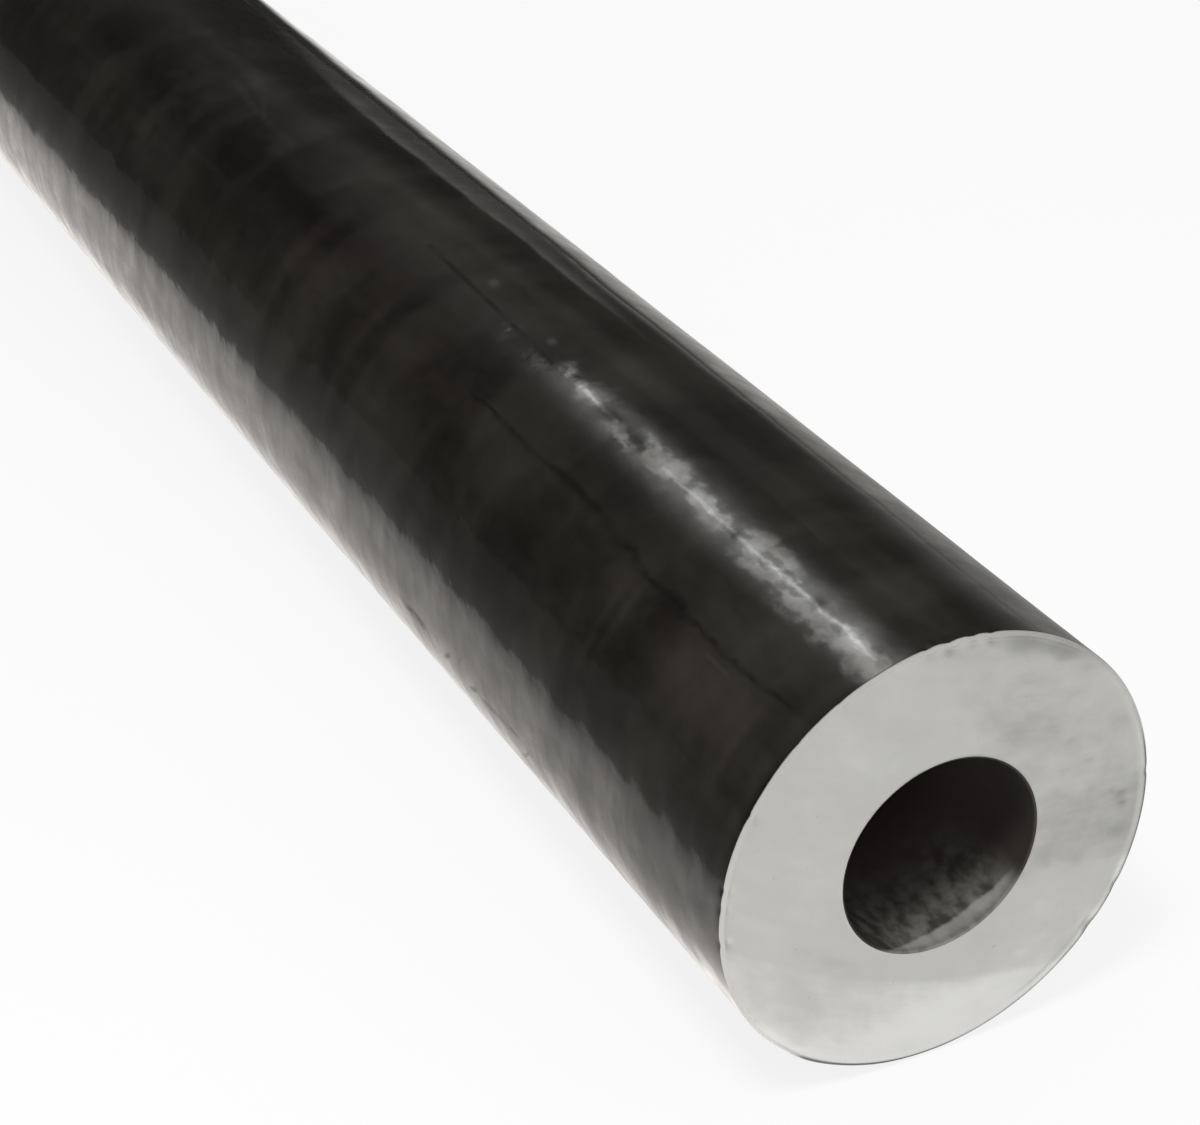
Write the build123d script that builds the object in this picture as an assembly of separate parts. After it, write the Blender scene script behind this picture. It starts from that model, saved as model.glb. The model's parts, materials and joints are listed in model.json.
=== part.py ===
from build123d import *

import os

# Heavy-wall seamless steel tube: one plain length of round stock, as it leaves the saw.
#
# The tube lies on its side. Its axis runs along +X, the sawn end that is looked at faces +X, and the
# lowest line of its skin lies on z = 0. The origin is on that line, halfway along the tube.
#
# It is one solid, a ring of wall turned about the axis. A straight cut squares each end, and a light
# pass of the file breaks the four rims that the saw leaves, a little more outside than in the bore.

# The section, in millimetres
outer_diameter = 108.0
wall_thickness = 30.0  # leaves a 48 mm bore
tube_length = 1000.0

# The broken edges, in millimetres: each is the leg of a 45 degree bevel
outer_edge_break = 0.8
bore_edge_break = 0.5

# What follows from them
outer_radius = outer_diameter / 2
bore_radius = outer_radius - wall_thickness


def wall_section() -> Sketch:
    """The wall as a cut along the tube shows it, above the axis, with its four corners broken."""
    with BuildSketch(Plane.XZ) as section:
        with Locations((0, bore_radius)):
            Rectangle(tube_length, wall_thickness, align=(Align.CENTER, Align.MIN))
        bore_corners = section.vertices().group_by(Axis.Y)[0]
        chamfer(bore_corners, length=bore_edge_break)
        skin_corners = section.vertices().group_by(Axis.Y)[-1]
        chamfer(skin_corners, length=outer_edge_break)
    return section.sketch


def tube() -> Part:
    """The wall turned once about the axis, then raised until its skin rests on z = 0."""
    with BuildPart() as turned:
        add(wall_section())
        revolve(axis=Axis.X)
    return turned.part.moved(Location((0, 0, outer_radius)))


os.makedirs("parts", exist_ok=True)
export_step(tube(), "parts/tube.step")
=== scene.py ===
"""Looks of a heavy-wall round steel tube that lies on its side on a pale floor.

The tube is one closed mesh: the cut through its wall, a profile of many points, carried round the axis, with
the marks of rolling, sawing and handling pressed into it. Three finishes dress it: oiled mill scale on the
skin, bare sawn steel on the ends and dull scale in the bore. Inside the tube's classes lengths are
millimetres, and angles round the axis run from -Y (0 degrees) over the top (90) to +Y (180). Lengths reach
Blender in metres.
"""

import json
import logging
import math
from dataclasses import dataclass, field
from enum import Enum
from typing import NamedTuple

import bpy
import numpy as np
from mathutils import Matrix, Vector


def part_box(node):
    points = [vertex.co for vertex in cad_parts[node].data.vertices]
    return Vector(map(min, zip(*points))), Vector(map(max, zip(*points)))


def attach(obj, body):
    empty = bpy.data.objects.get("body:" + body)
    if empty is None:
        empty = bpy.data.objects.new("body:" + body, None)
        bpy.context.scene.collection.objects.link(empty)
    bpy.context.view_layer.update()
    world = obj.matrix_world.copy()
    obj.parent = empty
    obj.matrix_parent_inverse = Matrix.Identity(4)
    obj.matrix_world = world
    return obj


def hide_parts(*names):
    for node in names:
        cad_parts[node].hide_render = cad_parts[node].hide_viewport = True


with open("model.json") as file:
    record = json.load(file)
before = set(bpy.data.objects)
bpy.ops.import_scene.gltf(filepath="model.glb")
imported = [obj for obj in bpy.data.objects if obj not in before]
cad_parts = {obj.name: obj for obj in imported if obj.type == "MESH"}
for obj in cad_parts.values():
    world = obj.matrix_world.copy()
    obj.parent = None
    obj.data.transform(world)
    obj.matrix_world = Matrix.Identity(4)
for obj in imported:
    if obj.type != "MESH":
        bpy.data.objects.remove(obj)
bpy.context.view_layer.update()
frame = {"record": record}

METRES = 0.001
PER_METRE = 1000.0

log = logging.getLogger("tube")

Socket = bpy.types.NodeSocket
Number = float | Socket
Pair = tuple[float, float]
Triple = tuple[float, float, float]
Profile = tuple[Pair, ...]

WHITE: Triple = (1.0, 1.0, 1.0)


class Zone(Enum):
    """The stretches of the wall's profile, in the order in which the profile runs through them."""

    SKIN = 0
    BACK_RIM = 1
    BACK_FACE = 2
    BACK_MOUTH = 3
    BORE = 4
    FRONT_MOUTH = 5
    FRONT_FACE = 6
    FRONT_RIM = 7


class Dress(Enum):
    """The finishes, by their material slot on the mesh."""

    SCALE = 0
    BARE = 1
    BORE = 2


@dataclass(frozen=True)
class Blot:
    """A soft-edged spot on the skin: its middle, its half sizes and its strength.

    Lengths are millimetres from the front end, and widths are degrees round the axis.
    """

    along: float
    turn_deg: float
    half_length: float
    half_width_deg: float
    strength: float = 1.0


@dataclass(frozen=True)
class Smudge:
    """A soft-edged spot on an end face, in millimetres from the axis. A negative strength darkens."""

    across: float
    up: float
    half_width: float
    half_height: float
    strength: float


@dataclass(frozen=True)
class Line:
    """A thin mark on the skin, from one place to another, in millimetres and degrees."""

    from_along: float
    from_deg: float
    to_along: float
    to_deg: float
    width: float
    wobble_deg: float = 0.0
    strength: float = 1.0


@dataclass(frozen=True)
class Cloud:
    """A cloudy noise: its lumps per metre, its finer layers and their strength, its swirl and its stretch."""

    per_metre: float
    detail: float
    rough: float
    warp: float = 0.0
    stretch: Triple = (1.0, 1.0, 1.0)


@dataclass(frozen=True)
class Ramp:
    """A soft ramp: its start up to low, its end from high on, and a smooth run between them.

    Where high lies below low, the ramp runs the other way.
    """

    low: float
    high: float
    start: float = 0.0
    end: float = 1.0


@dataclass(frozen=True)
class Waves:
    """A set of waves: how many, their longest and shortest in millimetres, and what is added to the seed."""

    count: int
    longest: float
    shortest: float
    seed_step: int


class Place(NamedTuple):
    """A point of a surface, in its object's own metres: the whole position, and its x, y and z."""

    position: Socket
    x: Socket
    y: Socket
    z: Socket


class SkinPlace(NamedTuple):
    """A point of the skin: millimetres from the front end, degrees round the axis, and the noises there."""

    along: Socket
    turn: Socket
    patches: Socket
    clouds: Socket
    streaks: Socket
    ripple: Socket
    mottle: Socket
    flames: Socket
    veins: Socket
    grain: Socket
    wander: Socket


def smooth_step(low: float, high: float, value: np.ndarray) -> np.ndarray:
    """A soft switch: 0 at low, 1 at high, and 3s^2 - 2s^3 of the share s between them.

    Args:
        low: where the switch leaves 0.
        high: where the switch reaches 1. It may lie below low, which turns the switch round.
        value: the numbers to switch on.

    Returns:
        The switch's state at each number.
    """
    share = np.clip((value - low) / (high - low), 0.0, 1.0)
    return share * share * (3.0 - 2.0 * share)


def bell(value: np.ndarray, centre: float, width: float) -> np.ndarray:
    """A bell: exp(-((value - centre) / width)^2).

    Args:
        value: the numbers to read the bell at.
        centre: where the bell is 1.
        width: how far from the centre it falls to 1/e.

    Returns:
        The bell's height at each number.
    """
    return np.exp(-(((value - centre) / width) ** 2))


def around(radius: np.ndarray, turn: np.ndarray) -> tuple[np.ndarray, np.ndarray]:
    """The place at an angle t round the axis: y = -r cos t, and z = r sin t above the axis.

    Args:
        radius: distance from the axis.
        turn: degrees round the axis.

    Returns:
        The place's y and z.
    """
    angle = np.radians(turn)
    return -radius * np.cos(angle), radius * np.sin(angle)


class Graph:
    """One node tree, with short calls that add a node and hand back its output."""

    def __init__(self, tree: bpy.types.NodeTree) -> None:
        """Takes over a tree and empties it.

        Args:
            tree: the node tree of a material or of the world.
        """
        self.tree = tree
        tree.nodes.clear()

    def node(self, kind: str, **settings: object) -> bpy.types.Node:
        """Adds one node.

        Args:
            kind: the node's type name.
            settings: properties to set on the node.

        Returns:
            The new node.
        """
        made = self.tree.nodes.new(kind)
        for name, value in settings.items():
            setattr(made, name, value)
        return made

    def feed(self, socket: Socket, value: object) -> None:
        """Links an output to a socket, or sets the socket where the value is plain.

        Args:
            socket: the input.
            value: an output socket, a number or a colour.
        """
        if isinstance(value, Socket):
            self.tree.links.new(value, socket)
        elif isinstance(value, tuple) and socket.type == "RGBA":
            socket.default_value = (*value, 1.0)
        else:
            socket.default_value = value

    def math(self, operation: str, *values: Number) -> Socket:
        """One Math node.

        Args:
            operation: the Math node's operation.
            values: its inputs, in order.

        Returns:
            The result.
        """
        made = self.node("ShaderNodeMath", operation=operation)
        for socket, value in zip(made.inputs, values):
            self.feed(socket, value)
        return made.outputs[0]

    def total(self, first: Number, *more: Number) -> Socket:
        """The sum of several numbers.

        Args:
            first: the first number.
            more: the others.

        Returns:
            The sum.
        """
        result = first
        for value in more:
            result = self.math("ADD", result, value)
        return result

    def product(self, first: Number, *more: Number) -> Socket:
        """The product of several numbers.

        Args:
            first: the first number.
            more: the others.

        Returns:
            The product.
        """
        result = first
        for value in more:
            result = self.math("MULTIPLY", result, value)
        return result

    def apart(self, first: Number, second: Number) -> Socket:
        """How far apart two numbers are."""
        return self.math("ABSOLUTE", self.math("SUBTRACT", first, second))

    def sway(self, noise: Socket, reach: float) -> Socket:
        """A noise from 0 to 1 laid evenly about zero, from -reach to reach."""
        return self.math("MULTIPLY_ADD", noise, 2 * reach, -reach)

    def angle(self, rise: Number, run: Number, plus: float = 0.0) -> Socket:
        """A direction's angle in degrees, plus a constant."""
        return self.math("MULTIPLY_ADD", self.math("ARCTAN2", rise, run), math.degrees(1.0), plus)

    def soft(self, low: Number, high: Number, value: Number, start: float = 0.0, end: float = 1.0) -> Socket:
        """The soft switch of smooth_step, as a Map Range node.

        Args:
            low: where the switch leaves its start.
            high: where the switch reaches its end.
            value: the number to switch on.
            start: what the switch gives up to low.
            end: what the switch gives from high on.

        Returns:
            The switch's state.
        """
        made = self.node("ShaderNodeMapRange", interpolation_type="SMOOTHSTEP")
        self.feed(made.inputs["Value"], value)
        self.feed(made.inputs["From Min"], low)
        self.feed(made.inputs["From Max"], high)
        self.feed(made.inputs["To Min"], start)
        self.feed(made.inputs["To Max"], end)
        return made.outputs["Result"]

    def ramp(self, value: Number, way: Ramp) -> Socket:
        """A number laid on a soft ramp."""
        return self.soft(way.low, way.high, value, way.start, way.end)

    def span(self, value: Number, low: Number, high: Number) -> Socket:
        """A number from 0 to 1 laid over a range: low + (high - low) times the number.

        Args:
            value: the number from 0 to 1.
            low: what 0 becomes.
            high: what 1 becomes.

        Returns:
            The number in the range.
        """
        made = self.node("ShaderNodeMapRange")
        self.feed(made.inputs["Value"], value)
        self.feed(made.inputs["To Min"], low)
        self.feed(made.inputs["To Max"], high)
        return made.outputs["Result"]

    def blend(self, share: Number, first: object, second: object) -> Socket:
        """A mix of two colours.

        Args:
            share: how much of the second shows.
            first: a colour or an output.
            second: a colour or an output.

        Returns:
            The mixed colour.
        """
        made = self.node("ShaderNodeMix", data_type="RGBA")
        self.feed(made.inputs["Factor"], share)
        self.feed(made.inputs["A"], first)
        self.feed(made.inputs["B"], second)
        return made.outputs["Result"]

    def stack(self, x: Number, y: Number, z: Number) -> Socket:
        """A vector from three numbers.

        Args:
            x: its x.
            y: its y.
            z: its z.

        Returns:
            The vector.
        """
        made = self.node("ShaderNodeCombineXYZ")
        for socket, value in zip(made.inputs, (x, y, z)):
            self.feed(socket, value)
        return made.outputs[0]

    def place(self) -> Place:
        """The object's own coordinates, in metres.

        Returns:
            The place.
        """
        position = self.node("ShaderNodeTexCoord").outputs["Object"]
        axis = self.node("ShaderNodeSeparateXYZ")
        self.feed(axis.inputs[0], position)
        return Place(position, *axis.outputs)

    def noise(self, position: Socket, cloud: Cloud) -> Socket:
        """Cloudy noise from 0 to 1.

        Args:
            position: where to read it, before it is multiplied axis by axis by the cloud's stretch.
            cloud: the noise.

        Returns:
            The noise's height.
        """
        stretched = self.node("ShaderNodeMapping", vector_type="POINT")
        self.feed(stretched.inputs["Vector"], position)
        stretched.inputs["Scale"].default_value = cloud.stretch
        made = self.node("ShaderNodeTexNoise", noise_dimensions="3D")
        self.feed(made.inputs["Vector"], stretched.outputs["Vector"])
        made.inputs["Scale"].default_value = cloud.per_metre
        made.inputs["Detail"].default_value = cloud.detail
        made.inputs["Roughness"].default_value = cloud.rough
        made.inputs["Distortion"].default_value = cloud.warp
        return made.outputs["Fac"]

    def polyline(self, value: Socket, corners: Profile) -> Socket:
        """Straight runs from corner to corner, read at a number.

        Args:
            value: the number. Past the first and the last corner the result stays as it is there.
            corners: pairs of the number and of what it becomes there.

        Returns:
            What the number becomes.
        """
        (first, _), (last, _) = corners[0], corners[-1]
        heights = [height for _, height in corners]
        lowest, rise, run = min(heights), max(heights) - min(heights), last - first
        spots = [((place - first) / run, (height - lowest) / rise) for place, height in corners]
        made = self.node("ShaderNodeFloatCurve")
        points = made.mapping.curves[0].points
        points[0].location, points[-1].location = spots[0], spots[-1]
        for spot in spots[1:-1]:
            points.new(*spot)
        for point in points:
            point.handle_type = "VECTOR"
        made.mapping.update()
        share = self.node("ShaderNodeMapRange")
        self.feed(share.inputs["Value"], value)
        self.feed(share.inputs["From Min"], first)
        self.feed(share.inputs["From Max"], last)
        self.feed(made.inputs["Value"], share.outputs["Result"])
        return self.math("MULTIPLY_ADD", made.outputs[0], rise, lowest)

    def attribute(self, name: str) -> Socket:
        """A number that the mesh carries at its points."""
        return self.node("ShaderNodeAttribute", attribute_name=name).outputs["Fac"]

    def raise_by(self, height: Number, depth_mm: float, normal: Socket | None = None) -> Socket:
        """A bump from a height.

        Args:
            height: the height, from 0 to 1.
            depth_mm: how far 1 lies above 0. A negative depth makes a hollow.
            normal: a normal to start from.

        Returns:
            The bumped normal.
        """
        made = self.node("ShaderNodeBump", invert=depth_mm < 0)
        self.feed(made.inputs["Height"], height)
        made.inputs["Distance"].default_value = abs(depth_mm) * METRES
        if normal is not None:
            self.feed(made.inputs["Normal"], normal)
        return made.outputs["Normal"]

    def lit(self, kind: str, strength: Number, colour: Triple = WHITE) -> Socket:
        """The light of an Emission or a Background node.

        Args:
            kind: the node's type name.
            strength: how bright it is.
            colour: its colour.

        Returns:
            The light.
        """
        made = self.node(kind)
        self.feed(made.inputs["Color"], colour)
        self.feed(made.inputs["Strength"], strength)
        return made.outputs[0]

    def mix(self, share: Number, first: Socket, second: Socket) -> Socket:
        """A mix of two shaders.

        Args:
            share: how much of the second shows.
            first: a shader.
            second: a shader.

        Returns:
            The mixed shader.
        """
        made = self.node("ShaderNodeMixShader")
        for socket, value in zip(made.inputs, (share, first, second)):
            self.feed(socket, value)
        return made.outputs[0]

    def show(self, surface: Socket, kind: str = "ShaderNodeOutputMaterial") -> None:
        """Sends a shader to the material's output, or to the world's."""
        self.feed(self.node(kind).inputs["Surface"], surface)

    def dress(self, inputs: dict[str, object]) -> None:
        """Makes the surface one Principled shader.

        Args:
            inputs: what goes into the shader's inputs, by their names.
        """
        shader = self.node("ShaderNodeBsdfPrincipled")
        for name, value in inputs.items():
            self.feed(shader.inputs[name], value)
        self.show(shader.outputs[0])


def blank_material(name: str) -> tuple[bpy.types.Material, Graph]:
    """Starts a material.

    Args:
        name: what it is called.

    Returns:
        The material, and its empty graph.
    """
    made = bpy.data.materials.new(name)
    made.use_nodes = True
    return made, Graph(made.node_tree)


def flat_sheet(name: str, x_run: Pair, y_run: Pair, z: float, finish: bpy.types.Material) -> bpy.types.Object:
    """Lays a level sheet with four square corners.

    Args:
        name: what the sheet is called.
        x_run: where it starts and stops in x, in metres.
        y_run: where it starts and stops in y.
        z: its height.
        finish: its material.

    Returns:
        The sheet.
    """
    (x_from, x_to), (y_from, y_to) = x_run, y_run
    flat = ((x_from, y_from), (x_to, y_from), (x_to, y_to), (x_from, y_to))
    mesh = bpy.data.meshes.new(name)
    mesh.from_pydata([(x, y, z) for x, y in flat], [], [(0, 1, 2, 3)])
    mesh.materials.append(finish)
    sheet = bpy.data.objects.new(name, mesh)
    bpy.context.scene.collection.objects.link(sheet)
    return sheet


def leave_to_reflections(sheet: bpy.types.Object) -> None:
    """Hides a sheet from all but reflections: it isn't seen, casts no shadow and lights nothing matt.

    Args:
        sheet: the sheet.
    """
    sheet.visible_camera = False
    sheet.visible_diffuse = False
    sheet.visible_transmission = False
    sheet.visible_shadow = False


@dataclass(frozen=True)
class TubeSizes:
    """The tube's real sizes, in millimetres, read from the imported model."""

    length: float
    outer_radius: float
    bore_radius: float
    outer_break: float
    bore_break: float

    @classmethod
    def from_frame(cls) -> "TubeSizes":
        """Reads the tube's box and its mounts.

        Returns:
            The sizes.
        """
        low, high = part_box("tube")
        mounts = {mount["name"]: mount for mount in frame["record"]["mounts"]}
        length = (high.x - low.x) / METRES
        return cls(
            length=length,
            outer_radius=(high.z - low.z) / METRES / 2,
            bore_radius=mounts["bore"]["dims"]["r_mm"],
            outer_break=(length - mounts["outside"]["dims"]["length_mm"]) / 2,
            bore_break=(length - mounts["bore"]["dims"]["length_mm"]) / 2,
        )


@dataclass(frozen=True)
class MillScale:
    """Oiled black mill scale, as hot rolling leaves it, under a thin film of oil.

    Warm brown-black patches lie beside greyer ones, and every turn of the rolls leaves a faint darker ring.
    Where hands and slings have rubbed it, pale metal shows through.
    """

    sizes: TubeSizes
    deep_warm: Triple = (0.0048, 0.0030, 0.0026)
    deep_grey: Triple = (0.0050, 0.0042, 0.0028)
    pale_warm: Triple = (0.0320, 0.0258, 0.0228)
    pale_grey: Triple = (0.0320, 0.0300, 0.0235)
    soot: Triple = (0.0020, 0.0016, 0.0014)
    rubbed: Triple = (0.165, 0.163, 0.152)
    rust: Triple = (0.30, 0.13, 0.05)
    roll_pitch: float = 51.5
    roll_phase: float = 165.0
    patches: Cloud = Cloud(34.0, 3.0, 0.5, 0.25, (1.0, 0.5, 0.5))
    clouds: Cloud = Cloud(64.0, 4.0, 0.55, 0.0, (0.5, 1.0, 1.0))
    streaks: Cloud = Cloud(160.0, 3.0, 0.6, 0.0, (0.06, 1.0, 1.0))
    ripple: Cloud = Cloud(110.0, 3.0, 0.55, 0.2, (0.8, 1.0, 1.0))
    mottle: Cloud = Cloud(240.0, 2.0, 0.55, 0.3, (0.7, 1.0, 1.0))
    flames: Cloud = Cloud(150.0, 3.0, 0.52, 0.0, (0.65, 1.0, 1.0))
    veins: Cloud = Cloud(250.0, 3.0, 0.5, 0.0, (0.65, 1.0, 1.0))
    grain: Cloud = Cloud(1100.0, 2.0, 0.6)
    wander: Cloud = Cloud(160.0, 3.0, 0.75, 0.0, (1.0, 0.2, 0.2))
    ring_edge: Ramp = Ramp(0.13, 0.04)
    ring_by_patches: Ramp = Ramp(0.35, 0.6)
    ring_dark: float = -0.20
    tone_by_clouds: Ramp = Ramp(0.40, 0.60, 0.45, 1.5)
    light_by_patches: Ramp = Ramp(0.40, 0.60, 0.20, 0.50)
    light_by_mottle: float = 0.20
    light_by_streaks: float = 0.15
    warm_by_clouds: Pair = (-0.55, 1.05)
    arc_light: float = 0.05
    dash_light: float = 0.12
    wear_by_flames: Ramp = Ramp(0.34, 0.66, 0.45, 1.45)
    wear_edge: Ramp = Ramp(0.18, 0.86)
    bright_by_veins: Ramp = Ramp(0.32, 0.66, 0.38, 1.0)
    rust_by_mottle: Ramp = Ramp(0.40, 0.62, 0.0, 0.5)
    metal_where_worn: float = 0.85
    rough_scale: Pair = (0.42, 0.60)
    rough_where_worn: float = 0.34
    scale_glint: float = 0.18
    oil_ior: float = 1.5
    film_gloss: float = 0.07
    film_by_clouds: Ramp = Ramp(0.30, 0.70, 0.76, 1.0)
    film_by_flames: Ramp = Ramp(0.30, 0.70, 0.84, 1.08)
    film_by_wander: Ramp = Ramp(0.35, 0.65, 0.86, 1.08)
    film_in_groove: float = 0.25
    film_on_soil: float = 0.12
    flow_everywhere: float = 0.05
    flow_near_side: Ramp = Ramp(100.0, 86.0, 0.0, 0.40)
    flow_low_side: Ramp = Ramp(62.0, 36.0, 0.0, 0.55)
    flow_at_foot: Ramp = Ramp(-26.0, -6.0, 0.3, 1.0)
    flow_ripple: float = 0.12
    flow_mottle: float = 0.045
    bump_mottle: float = 0.02
    bump_grain: float = 0.004
    mark_core: float = 0.2
    arc_fade_deg: float = 6.0
    scratch_sway_deg: float = 1.5
    scratch_fade: float = 20.0
    scratch_by_ripple: Ramp = Ramp(0.38, 0.60, 0.22, 0.62)
    groove_by_mottle: Ramp = Ramp(0.36, 0.60, 0.35, 1.0)
    scratch_line: Profile = (
        (-4.0, 53.0), (8.0, 52.0), (20.0, 50.5), (35.0, 50.1), (50.0, 50.5), (58.0, 51.0), (70.0, 50.5),
        (75.0, 51.0), (79.0, 52.8), (88.0, 52.2), (96.0, 53.9), (108.0, 54.0), (114.0, 54.6), (126.0, 53.7),
        (150.0, 54.0), (178.0, 53.2),
    )
    scratch_width: Profile = (
        (-4.0, 1.3), (10.0, 1.3), (46.0, 1.2), (56.0, 2.3), (68.0, 1.3), (77.0, 1.8), (90.0, 2.1),
        (104.0, 1.8), (114.0, 2.3), (124.0, 1.3), (155.0, 1.1), (178.0, 0.6),
    )
    seam: Line = Line(157.0, 74.6, 238.0, 77.2, 1.2, 0.3, 0.8)
    arcs: tuple[Line, ...] = (
        Line(68.0, 22.0, 68.6, 46.0, 2.2),
        Line(73.2, 24.0, 73.8, 48.0, 1.8, 0.0, 0.7),
        Line(15.0, 28.0, 15.4, 46.0, 1.8, 0.0, 0.7),
        Line(20.6, 26.0, 21.2, 46.0, 2.2, 0.0, 0.8),
    )
    dashes: tuple[Line, ...] = (
        Line(29.0, 47.2, 39.0, 47.3, 0.8, 0.0, 0.35),
        Line(165.5, 79.4, 168.5, 79.6, 1.8, 0.0, 1.7),
        Line(203.5, 81.5, 207.0, 81.8, 2.0, 0.0, 1.7),
        Line(195.0, 50.4, 530.0, 47.6, 1.8, 0.8, 0.10),
        Line(325.0, 71.6, 363.0, 73.0, 1.8, 0.4, 0.25),
        Line(363.0, 73.0, 386.0, 76.2, 2.0, 0.4, 0.30),
        Line(367.0, 79.6, 388.0, 82.6, 4.0, 0.8, 0.40),
        Line(352.0, 73.0, 368.0, 78.8, 1.6, 0.4, 0.35),
    )
    nicks: tuple[Line, ...] = (
        Line(94.0, -15.0, 101.0, -21.0, 1.0, 0.3, 0.55),
        Line(99.0, -13.2, 120.0, -15.0, 1.4, 0.6, 0.50),
        Line(122.0, -13.0, 130.0, -18.0, 1.5, 0.3, 0.75),
        Line(129.0, -7.2, 131.5, -10.0, 1.1, 0.2, 0.45),
        Line(137.0, -11.0, 143.0, -15.7, 1.5, 0.3, 0.80),
        Line(150.0, -12.2, 167.0, -11.4, 2.8, 0.8, 0.95),
    )

    @property
    def mm_per_degree(self) -> float:
        """How far one degree reaches on the skin."""
        return math.radians(1.0) * self.sizes.outer_radius

    def read(self, graph: Graph) -> SkinPlace:
        """Where on the skin a point lies, and the noises there.

        Args:
            graph: the material's graph.

        Returns:
            The place, with its noises.
        """
        at = graph.place()
        level = graph.math("SUBTRACT", at.z, self.sizes.outer_radius * METRES)
        names = SkinPlace._fields[SkinPlace._fields.index("patches"):]
        return SkinPlace(
            along=graph.math("MULTIPLY_ADD", at.x, -PER_METRE, self.sizes.length / 2),
            turn=graph.angle(at.y, level, 90.0),
            **{name: graph.noise(at.position, getattr(self, name)) for name in names},
        )

    def stroke(self, graph: Graph, off: Socket, run: Socket, ends: Pair, fade: float, line: Line) -> Socket:
        """How strongly a mark shows: fully on its centre line, and not past its width or its ends.

        Args:
            graph: the material's graph.
            off: millimetres from the mark's centre line.
            run: the place on the way that the mark runs.
            ends: where the mark starts and stops on that way.
            fade: how far before and behind them it fades.
            line: the mark.

        Returns:
            The mark's strength.
        """
        (start, stop), core = ends, line.width * self.mark_core
        begun = graph.soft(start - fade, start + fade, run)
        ended = graph.soft(stop + fade, stop - fade, run)
        return graph.product(graph.soft(line.width, core, off), begun, ended, line.strength)

    def line_along(self, graph: Graph, at: SkinPlace, line: Line) -> Socket:
        """How strongly a mark that runs along the tube shows at a point.

        The mark's centre moves evenly in angle from one end to the other, and wanders by the noise.

        Args:
            graph: the material's graph.
            at: the point.
            line: the mark.

        Returns:
            The mark's strength.
        """
        run = (line.to_deg - line.from_deg) / (line.to_along - line.from_along)
        straight = graph.math("MULTIPLY_ADD", at.along, run, line.from_deg - run * line.from_along)
        centre = graph.math("ADD", straight, graph.sway(at.wander, line.wobble_deg))
        off = graph.math("MULTIPLY", graph.apart(at.turn, centre), self.mm_per_degree)
        return self.stroke(graph, off, at.along, (line.from_along, line.to_along), line.width, line)

    def arc_round(self, graph: Graph, at: SkinPlace, line: Line) -> Socket:
        """How strongly a mark that runs round the tube shows at a point.

        Args:
            graph: the material's graph.
            at: the point.
            line: the mark, which slants evenly from its first angle to its second.

        Returns:
            The mark's strength.
        """
        run = (line.to_along - line.from_along) / (line.to_deg - line.from_deg)
        centre = graph.math("MULTIPLY_ADD", at.turn, run, line.from_along - run * line.from_deg)
        off = graph.apart(at.along, centre)
        return self.stroke(graph, off, at.turn, (line.from_deg, line.to_deg), self.arc_fade_deg, line)

    def long_scratch(self, graph: Graph, at: SkinPlace) -> Socket:
        """How strongly the long scratch shows: it runs in straight steps, now wider, now thinner, and frays.

        Args:
            graph: the material's graph.
            at: the point.

        Returns:
            The scratch's strength, from 0 to 1.
        """
        straight = graph.polyline(at.along, self.scratch_line)
        width = graph.polyline(at.along, self.scratch_width)
        centre = graph.math("ADD", straight, graph.sway(at.mottle, self.scratch_sway_deg))
        off = graph.math("MULTIPLY", graph.apart(at.turn, centre), self.mm_per_degree)
        last = self.scratch_line[-1][0]
        ended = graph.soft(last, last - self.scratch_fade, at.along)
        frayed = graph.ramp(at.ripple, self.scratch_by_ripple)
        return graph.product(graph.soft(width, 0.0, off), ended, frayed)

    def groove(self, graph: Graph, at: SkinPlace) -> Socket:
        """Where the skin is cut dark: along the long scratch, the seam and the nicks.

        Args:
            graph: the material's graph.
            at: the point.

        Returns:
            The darkness, from 0 to 1.
        """
        nicks = graph.total(0.0, *(self.line_along(graph, at, nick) for nick in self.nicks))
        seam = self.line_along(graph, at, self.seam)
        cut = graph.math("MAXIMUM", graph.math("MAXIMUM", self.long_scratch(graph, at), seam), nicks)
        return graph.product(cut, graph.ramp(at.mottle, self.groove_by_mottle))

    def colour(self, graph: Graph, at: SkinPlace, wear: Socket, groove: Socket) -> Socket:
        """The skin's colour: deep or pale scale, warm or grey, then the marks over it.

        Args:
            graph: the material's graph.
            at: the point.
            wear: how far the scale is rubbed through, from 0 to 1.
            groove: how dark a groove is there, from 0 to 1.

        Returns:
            The colour.
        """
        pitch = self.roll_pitch
        lap = graph.math("MULTIPLY_ADD", at.along, 1.0 / pitch, 0.5 - self.roll_phase / pitch)
        off_ring = graph.apart(graph.math("FRACT", lap), 0.5)
        ring = graph.product(
            graph.ramp(off_ring, self.ring_edge),
            graph.ramp(at.patches, self.ring_by_patches),
        )
        light = graph.total(
            graph.product(graph.attribute("tone"), graph.ramp(at.clouds, self.tone_by_clouds)),
            graph.ramp(at.patches, self.light_by_patches),
            graph.sway(at.mottle, self.light_by_mottle),
            graph.sway(at.streaks, self.light_by_streaks),
            graph.product(ring, self.ring_dark),
        )
        warm = graph.total(graph.attribute("warmth"), graph.span(at.clouds, *self.warm_by_clouds))
        deep = graph.blend(warm, self.deep_grey, self.deep_warm)
        pale = graph.blend(warm, self.pale_grey, self.pale_warm)
        colour = graph.blend(light, deep, pale)
        arcs = graph.total(0.0, *(self.arc_round(graph, at, arc) for arc in self.arcs))
        colour = graph.blend(graph.product(arcs, at.mottle, self.arc_light), colour, self.rubbed)
        dashes = graph.total(0.0, *(self.line_along(graph, at, dash) for dash in self.dashes))
        colour = graph.blend(graph.product(dashes, self.dash_light), colour, self.rubbed)
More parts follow.
